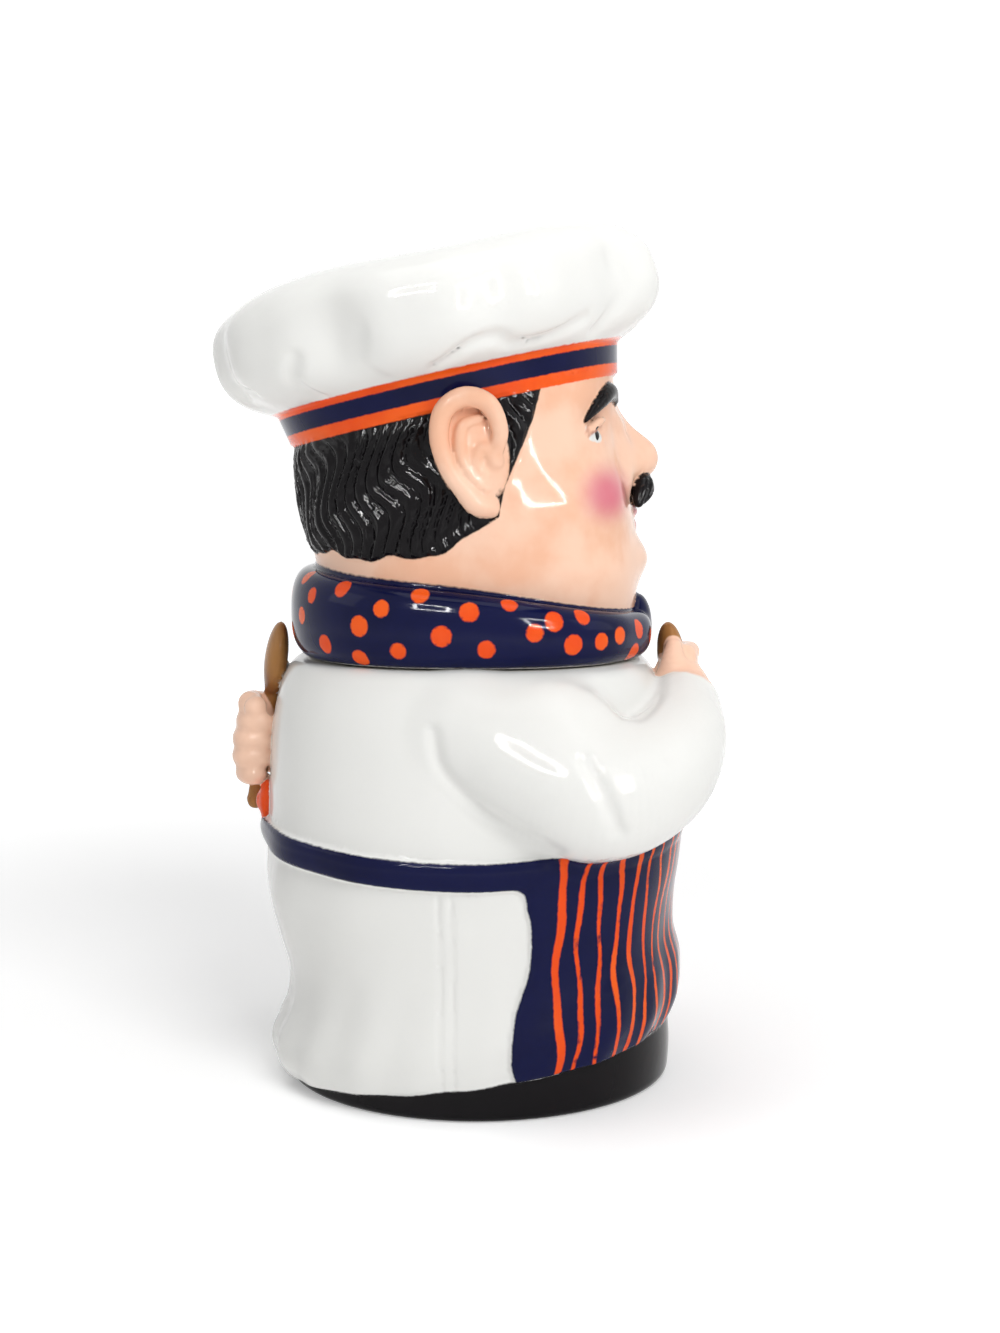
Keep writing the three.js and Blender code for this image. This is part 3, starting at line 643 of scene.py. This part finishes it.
def sampled(field, axes):
    """The field's values on a grid, worked out a few levels at a time."""
    shape = tuple(len(axis) for axis in axes)
    values = np.empty(shape)
    across = np.stack(np.meshgrid(axes[0], axes[1], indexing="ij"), axis=-1).reshape(-1, 2)
    slab = 12
    for k in range(0, shape[2], slab):
        levels = axes[2][k:k + slab]
        points = np.column_stack([np.repeat(across, len(levels), axis=0), np.tile(levels, len(across))])
        values[:, :, k:k + slab] = field(points).reshape(shape[0], shape[1], len(levels))
    return values


def crossings(values):
    """The grid cells that the surface crosses, and the middle of its crossings with each one's edges."""
    inside = values < 0
    cells = tuple(n - 1 for n in values.shape)
    total, count = np.zeros(cells + (3,)), np.zeros(cells)

    def at(array, offset):
        return array[tuple(slice(o, o + n) for o, n in zip(offset, cells))]

    for a in [(i, j, k) for i in (0, 1) for j in (0, 1) for k in (0, 1)]:
        for axis in [axis for axis in range(3) if a[axis] == 0]:
            b = tuple(o + (k == axis) for k, o in enumerate(a))
            crossed = at(inside, a) != at(inside, b)
            va, vb = at(values, a)[crossed], at(values, b)[crossed]
            spot = np.tile(np.array(a, float), (len(va), 1))
            spot[:, axis] += va / (va - vb)
            total[crossed] += spot
            count[crossed] += 1
    used = count > 0
    return used, np.argwhere(used) + total[used] / count[used][:, None]


def quads_between(inside, index):
    """A quad of vertices round each grid edge that the surface crosses, facing out."""
    cells = index.shape
    quads = []
    for axis in range(3):
        u, v = (axis + 1) % 3, (axis + 2) % 3
        here = [slice(1, n) for n in cells]
        here[axis] = slice(0, cells[axis])
        ahead = list(here)
        ahead[axis] = slice(1, cells[axis] + 1)
        first, second = inside[tuple(here)], inside[tuple(ahead)]
        flip = first[first != second]
        base = np.argwhere(first != second) + [0 if k == axis else 1 for k in range(3)]
        ring = []
        for du, dv in ((0, 0), (-1, 0), (-1, -1), (0, -1)):
            cell = base.copy()
            cell[:, u] += du
            cell[:, v] += dv
            ring.append(index[tuple(cell.T)])
        ring = np.stack(ring, axis=1)
        ring[~flip] = ring[~flip][:, ::-1]
        quads.append(ring)
    return np.concatenate(quads)


def skin(field, low, high, step):
    """Vertices and quads of the surface where the field is 0, one vertex to each grid cell it crosses."""
    axes = [np.arange(a - 2 * step, b + 3 * step, step) for a, b in zip(low, high)]
    values = sampled(field, axes)
    used, places = crossings(values)
    index = np.full(used.shape, -1)
    index[used] = np.arange(used.sum())
    return np.array([axis[0] for axis in axes]) + places * step, quads_between(values < 0, index)


def slope(field, points, step=0.12):
    """The direction in which the field grows, by differences."""
    found = np.empty_like(points)
    for axis in range(3):
        shift = np.zeros(3)
        shift[axis] = step
        found[:, axis] = (field(points + shift) - field(points - shift)) / (2 * step)
    return found


def settle(field, points, times, most):
    """Moves points onto the surface."""
    for _ in range(times):
        way = slope(field, points)
        steep = np.maximum((way ** 2).sum(axis=1), 0.04)
        points = points - way * (np.clip(field(points), -most, most) / steep)[:, None]
    return points


def thinned(piece, within, share):
    """The piece's mesh with fewer faces on the marked vertices."""
    group = piece.vertex_groups.new(name="inside")
    group.add(np.flatnonzero(within).tolist(), 1.0, "REPLACE")
    thinner = piece.modifiers.new("thinner", "DECIMATE")
    thinner.ratio = share
    thinner.vertex_group = group.name
    mesh = bpy.data.meshes.new_from_object(piece.evaluated_get(bpy.context.evaluated_depsgraph_get()))
    piece.modifiers.clear()
    piece.vertex_groups.clear()
    return mesh


def refine(mesh, spots):
    """Splits the faces round each (centre, radius) spot."""
    work = bmesh.new()
    work.from_mesh(mesh)
    for centre, radius in spots:
        middle = Vector(centre) * MM
        edges = [e for e in work.edges if (e.verts[0].co - middle).length < radius * MM]
        bmesh.ops.subdivide_edges(work, edges=edges, cuts=1, use_grid_fill=True)
    bmesh.ops.triangulate(work, faces=[f for f in work.faces if len(f.verts) > 4])
    work.to_mesh(mesh)
    work.free()


def build(name, field, hollow, low, high, step, fine_spots=()):
    """A piece from its field, with the hollow's skin thinned and a finer mesh round small features."""
    vertices, quads = skin(field, low, high, step)
    vertices = settle(field, vertices, 2, 0.6 * step)
    rough = bpy.data.meshes.new(name)
    rough.from_pydata((vertices * MM).tolist(), [], quads.tolist())
    piece = bpy.data.objects.new(name, rough)
    bpy.context.collection.objects.link(piece)
    mesh = thinned(piece, hollow(vertices) < 1.2, INNER_SHARE)
    piece.data = mesh
    mesh.name = name
    refine(mesh, fine_spots)
    points = np.empty(len(mesh.vertices) * 3)
    mesh.vertices.foreach_get("co", points)
    points = settle(field, points.reshape(-1, 3) / MM, 2, 0.4)
    mesh.vertices.foreach_set("co", (points * MM).ravel())
    normals = slope(field, points, 0.25)
    normals /= np.linalg.norm(normals, axis=1)[:, None] + 1e-9
    mesh.polygons.foreach_set("use_smooth", [True] * len(mesh.polygons))
    mesh.update()
    mesh.normals_split_custom_set_from_vertices(normals.tolist())
    print(name, len(points), "vertices", sum(len(p.vertices) - 2 for p in mesh.polygons), "triangles")
    return piece, points


def nearest(points, forms):
    """Distance to the nearest of several forms."""
    reach, beyond = 6, 50.0
    found = np.full(len(points), beyond)
    for low, high, distance in forms:
        near = np.all((points > low - reach) & (points < high + reach), axis=1)
        if near.any():
            found[near] = np.minimum(found[near], distance(points[near]))
    return found


def keep(piece, name, values):
    """Keeps a distance at each vertex, in millimetres and positive where the paint lies."""
    layer = piece.data.attributes.new(name, "FLOAT", "POINT")
    layer.data.foreach_set("value", np.clip(values, -30, 30).astype(np.float32))


# Paint

def least(*distances):
    """The smallest of several distances: paint lies only where all of them allow it."""
    return np.minimum.reduce(distances)


def stripes(turn, z):
    """The apron's upright brush lines: a broad one along each side edge, then finer ones between."""
    share = skirt_share(turn, z)
    found = np.full(turn.shape, -9.0)
    for k in range(-12, 13):
        middle = radians(5.72 * k) + 0.011 * np.sin(8 * share + 1.9 * k)
        middle = middle + 0.004 * np.sin(19 * share + 1.3 * k)
        broad = 1.2 if abs(k) == 12 else 0.8 + 0.12 * sin(1.7 * k)
        half = broad + 0.15 * np.sin(11 * share + k)
        found = np.maximum(found, half - np.abs(turn - middle) * SKIRT_RADIUS)
    return np.minimum(found, (share - 0.005) * 60)


def dots(points):
    """The neckerchief's spots; those on the far side are set a little differently."""
    found = np.full(len(points), -9.0)
    far = [(-degrees + 5 * sin(3 * degrees), 1.08 - share) for degrees, share in SPOTS if 20 < degrees < 170]
    for k, (degrees, share) in enumerate(SPOTS + far):
        turn = radians(degrees)
        swell = np.interp(share, (0, 0.4, 0.7, 1), (-3, 0.5, -0.4, -4.5))
        radius = oval(turn, COLLAR_WIDTH, COLLAR_FRONT, COLLAR_BACK) + swell
        centre = around(turn, radius, LID_SEAT + share * collar_rise(turn))
        found = np.maximum(found, 3.15 + 0.3 * sin(5.1 * k) - np.sqrt(((points - centre) ** 2).sum(axis=1)))
    return found


def paint_body(piece, points):
    turn, radius = polar(points)
    z = points[:, 2]
    above_hem = z - hem_at(turn)
    hand = nearest(points, hands)
    sleeve = nearest(points, sleeves)
    flat = -strap(turn, z) - 0.2
    keep(piece, "trousers", least(0.25 * np.sin(19 * turn) - 0.3 - above_hem, radius - TROUSERS_FROM))
    keep(piece, "navy", least(flat, sleeve - 0.2, hand - 0.3, radius - JACKET_FROM, above_hem + 0.2))
    keep(piece, "stripes", least(stripes(turn, z), flat, sleeve - 0.2, radius - JACKET_FROM))
    keep(piece, "spoon", 0.5 - nearest(points, spoons))
    keep(piece, "hand", least(1.1 - hand, sleeve + 0.1))
    keep(piece, "knot", 0.6 - nearest(points, back_knot))


def paint_head(piece, points):
    turn = head_place(points)[0]
    z = points[:, 2]
    height = upright(points)[:, 2]
    outside = head_hollow(points) - 0.8
    rim = collar(points)
    ears = nearest(points, ear_plates + ear_ridges + ear_insides)
    eye = nearest(points, eyes)
    lid = nearest(points, lids + under_lids)
    knot = nearest(points, [collar_knot])
    flush = (np.abs(points) - BLUSH) * (0.25, 1, 1)
    cheeks = np.sqrt((flush ** 2).sum(axis=1)) + 30 * (points[:, 1] > 0)
    keep(piece, "skin", np.maximum(least(rim - 0.2, 3 - height, outside), 0.7 - ears))
    keep(piece, "cheek", BLUSH_RADIUS - cheeks)
    keep(piece, "lip", 0.3 - nearest(points, lips))
    keep(piece, "hair", least(-hair_edge(turn, z), ears - 0.4, rim - 0.3, 3 - height, outside))
    keep(piece, "brow", 0.35 - nearest(points, brows + moustaches))
    keep(piece, "eye", least(0.35 - eye, lid + 0.1))
    keep(piece, "pupil", 0.1 - nearest(points, pupils))
    keep(piece, "lash", least(0.5 - lid, 0.5 - eye))
    keep(piece, "band_orange", least(height + 0.2, BAND_HEIGHT + 0.3 - height, ears - 0.7, outside))
    keep(piece, "band_navy", least(height - STRIPE_LOW, STRIPE_HIGH - height, ears - 0.7, outside))
    keep(piece, "scarf", least(0.9 - np.minimum(rim, knot), outside, z - LID_SEAT - 0.6))
    keep(piece, "dots", least(dots(points), 0.5 - rim))


def node(tree, kind, **settings):
    made = tree.nodes.new(kind)
    for key, value in settings.items():
        setattr(made, key, value)
    return made


def noise(tree, place, scale, detail):
    made = node(tree, "ShaderNodeTexNoise")
    made.inputs["Scale"].default_value = scale
    made.inputs["Detail"].default_value = detail
    tree.links.new(place, made.inputs["Vector"])
    return made.outputs["Fac"]


def ranged(tree, value, low, high):
    """A node that steps smoothly from one end to the other as the value goes from low to high."""
    made = node(tree, "ShaderNodeMapRange", interpolation_type="SMOOTHSTEP")
    made.inputs["From Min"].default_value = low
    made.inputs["From Max"].default_value = high
    tree.links.new(value, made.inputs["Value"])
    return made


def mixed(tree, share, first, second):
    """A mix of two colours, each given by its numbers or by a socket."""
    made = node(tree, "ShaderNodeMix", data_type="RGBA")
    tree.links.new(share, made.inputs["Factor"])
    for name, colour in (("A", first), ("B", second)):
        if isinstance(colour, tuple):
            made.inputs[name].default_value = (*colour, 1)
        else:
            tree.links.new(colour, made.inputs[name])
    return made.outputs["Result"]


def glaze(name, base, layers):
    """A glossy glaze: each (attribute, colour, edge width) layer is brushed over those before it."""
    material = bpy.data.materials.new(name)
    material.use_nodes = True
    tree = material.node_tree
    shader = tree.nodes["Principled BSDF"]
    shader.inputs["Roughness"].default_value = 0.09
    shader.inputs["IOR"].default_value = 1.5
    shader.inputs["Specular IOR Level"].default_value = 0.11
    place = node(tree, "ShaderNodeTexCoord").outputs["Object"]
    clouds = noise(tree, place, 38, 4)
    streaks = ranged(tree, clouds, 0.42, 0.66).outputs[0]
    wander = node(tree, "ShaderNodeMath", operation="MULTIPLY_ADD")
    tree.links.new(noise(tree, place, 520, 2), wander.inputs[0])
    wander.inputs[1].default_value = 0.5
    wander.inputs[2].default_value = -0.25
    colour = mixed(tree, clouds, tuple(c * 0.95 for c in base), base)
    for attribute, tint, width in layers:
        held = node(tree, "ShaderNodeAttribute", attribute_name=attribute)
        edge = node(tree, "ShaderNodeMath", operation="ADD")
        tree.links.new(held.outputs["Fac"], edge.inputs[0])
        tree.links.new(wander.outputs[0], edge.inputs[1])
        cover = ranged(tree, edge.outputs[0], -width, width).outputs[0]
        thick = tuple(c * share for c, share in zip(tint, THICK.get(tint, USUAL_THICK)))
        colour = mixed(tree, cover, colour, mixed(tree, streaks, tint, thick))
    tree.links.new(colour, shader.inputs["Base Color"])
    ripple = node(tree, "ShaderNodeBump")
    ripple.inputs["Strength"].default_value = 0.06
    ripple.inputs["Distance"].default_value = 0.004
    tree.links.new(clouds, ripple.inputs["Height"])
    tree.links.new(ripple.outputs[0], shader.inputs["Normal"])
    return material


WHITE = (0.80, 0.80, 0.775)
ORANGE = (0.78, 0.075, 0.01)
NAVY = (0.004, 0.006, 0.045)
BLACK = (0.006, 0.005, 0.006)
PEACH = (0.88, 0.58, 0.43)
PINK = (0.66, 0.21, 0.25)
TAN = (0.40, 0.19, 0.06)
BROWN = (0.50, 0.22, 0.15)
# What is left of a colour where its glaze lies thick.
THICK = {PEACH: (0.93, 0.8, 0.72), ORANGE: (1.08, 1.5, 1.3), TAN: (0.6, 0.5, 0.5), PINK: (1, 0.85, 0.9)}
USUAL_THICK = (0.8, 0.8, 0.8)

body_glaze = glaze("body_paint", WHITE, [
    ("trousers", BLACK, 0.35), ("navy", NAVY, 0.3), ("stripes", ORANGE, 0.3), ("knot", ORANGE, 0.3),
    ("spoon", TAN, 0.3), ("hand", PEACH, 0.35),
])
head_glaze = glaze("head_paint", WHITE, [
    ("skin", PEACH, 0.35), ("cheek", PINK, 5.5), ("lip", PINK, 0.6), ("hair", BLACK, 0.3),
    ("brow", BLACK, 0.3), ("eye", WHITE, 0.2), ("pupil", BLACK, 0.2), ("lash", BROWN, 0.3),
    ("band_orange", ORANGE, 0.3), ("band_navy", NAVY, 0.3), ("scarf", NAVY, 0.3), ("dots", ORANGE, 0.3),
])

body_room, head_room = ((-90, -84, 0), (91, 89, 160)), ((-78, -63, 136), (75, 89, 294))
body, body_points = build("chef_body", body_field, body_hollow, *body_room, BODY_STEP)
paint_body(body, body_points)
body.data.materials.append(body_glaze)
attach(body, "root")
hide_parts("jar_body")

# The mesh is finest round the eyes.
eye_spots = [((side * 33, -38, 221), 9) for side in (-1, 1)]
eye_spots += [((side * 34, -38.5, 221), 5.5) for side in (-1, 1)]
head, head_points = build("chef_head", head_field, head_hollow, *head_room, HEAD_STEP, eye_spots)
paint_head(head, head_points)
head.data.materials.append(head_glaze)
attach(head, "root")
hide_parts("head_lid")


# The studio

def turned(name, rows):
    """A pale surface turned from (radius, height) rows, which brightens away from the middle."""
    path = spline(rows, 4)
    sides = 72
    turns = [2 * pi * k / sides for k in range(sides)]
    vertices = [(r * cos(turn), r * sin(turn), z) for r, z in path for turn in turns]
    faces = []
    for i in range(len(path) - 1):
        for k in range(sides):
            after = (k + 1) % sides
            faces.append((i * sides + k, i * sides + after, (i + 1) * sides + after, (i + 1) * sides + k))
    mesh = bpy.data.meshes.new(name)
    mesh.from_pydata(vertices, [], faces)
    mesh.polygons.foreach_set("use_smooth", [True] * len(mesh.polygons))
    ground = bpy.data.objects.new(name, mesh)
    bpy.context.collection.objects.link(ground)
    paper = bpy.data.materials.new(name + "_paper")
    paper.use_nodes = True
    tree = paper.node_tree
    shader = tree.nodes["Principled BSDF"]
    shader.inputs["Base Color"].default_value = (0.8, 0.8, 0.8, 1)
    shader.inputs["Roughness"].default_value = 0.9
    shader.inputs["Specular IOR Level"].default_value = 0.1
    shader.inputs["Emission Color"].default_value = (1, 1, 1, 1)
    away = node(tree, "ShaderNodeVectorMath", operation="LENGTH")
    tree.links.new(node(tree, "ShaderNodeTexCoord").outputs["Object"], away.inputs[0])
    glow = ranged(tree, away.outputs["Value"], 0.2, 1.2)
    glow.inputs["To Min"].default_value = 0.3
    glow.inputs["To Max"].default_value = 0.93
    tree.links.new(glow.outputs[0], shader.inputs["Emission Strength"])
    mesh.materials.append(paper)
    return ground


def backdrop():
    """A pale floor, and a paper wall that curves up far round it without lighting the jar."""
    turned("floor", [(0.001, 0), (0.3, 0), (1, 0), (2.5, 0)])
    wall = turned("wall", [(2.5, 0), (3.3, 0.06), (4.2, 0.6), (4.8, 1.7), (5.1, 3.6), (5.1, 8)])
    wall.visible_diffuse = False


def lamp(name, place, target, size, watts, soft=True, glossy=True):
    """An area lamp: one that isn't soft shows only as a reflection, one that isn't glossy in none."""
    light = bpy.data.lights.new(name, "AREA")
    light.shape = "RECTANGLE"
    light.size, light.size_y = size
    light.energy = watts
    stand = bpy.data.objects.new(name, light)
    bpy.context.collection.objects.link(stand)
    stand.visible_diffuse = soft
    stand.visible_glossy = glossy
    stand.location = place
    stand.rotation_euler = (Vector(target) - Vector(place)).to_track_quat("-Z", "Y").to_euler()


def camera():
    """The photograph's camera: on the chef's right, 700 mm off and 215 mm up, looking down 6 degrees."""
    lens = bpy.data.cameras.new("camera")
    lens.lens = 54.6
    lens.sensor_width = 36
    eye = bpy.data.objects.new("camera", lens)
    bpy.context.collection.objects.link(eye)
    eye.location = (-0.700, -0.00758, 0.215)
    eye.rotation_euler = (radians(84), 0, radians(-90))
    bpy.context.scene.camera = eye


def lit_frame(name, place, target, width, height, watts, thick=0.012):
    """Four thin lamps round an open rectangle, which shows as a bright loop in the glaze."""
    turn = (Vector(target) - Vector(place)).to_track_quat("-Z", "Y")
    for side, (across, up, size) in enumerate((
        (-width / 2, 0, (thick, height)), (width / 2, 0, (thick, height)),
        (0, -height / 2, (width, thick)), (0, height / 2, (width, thick)),
    )):
        middle = Vector(place) + turn @ Vector((across, up, 0))
        lamp(f"{name}_{side}", middle, middle + turn @ Vector((0, 0, -1)), size, watts, soft=False)


camera()
backdrop()
lamp("overhead", (-0.1, 0, 1.5), (0, 0, 0.1), (1.2, 1.2), 12)
lamp("behind", (-0.2, 1.6, 0.9), (0, 0, 0.15), (0.8, 0.8), 2.2)
lamp("ahead", (-0.2, -1.6, 0.8), (0, 0, 0.15), (0.8, 0.8), 2)
lamp("key", (-1.35, -0.6, 1.25), (0, 0, 0.15), (0.8, 0.8), 19, glossy=False)
lit_frame("left_loop", (-0.95, 0.32, 0.72), (0, 0, 0.18), 0.34, 0.26, 4)
lit_frame("right_loop", (-0.85, -0.6, 0.5), (0, 0, 0.18), 0.3, 0.36, 3.6)
world = bpy.data.worlds.new("studio")
world.use_nodes = True
world.node_tree.nodes["Background"].inputs["Color"].default_value = (1, 1, 1, 1)
world.node_tree.nodes["Background"].inputs["Strength"].default_value = 0.12
bpy.context.scene.world = world
bpy.context.scene.view_settings.view_transform = "Standard"
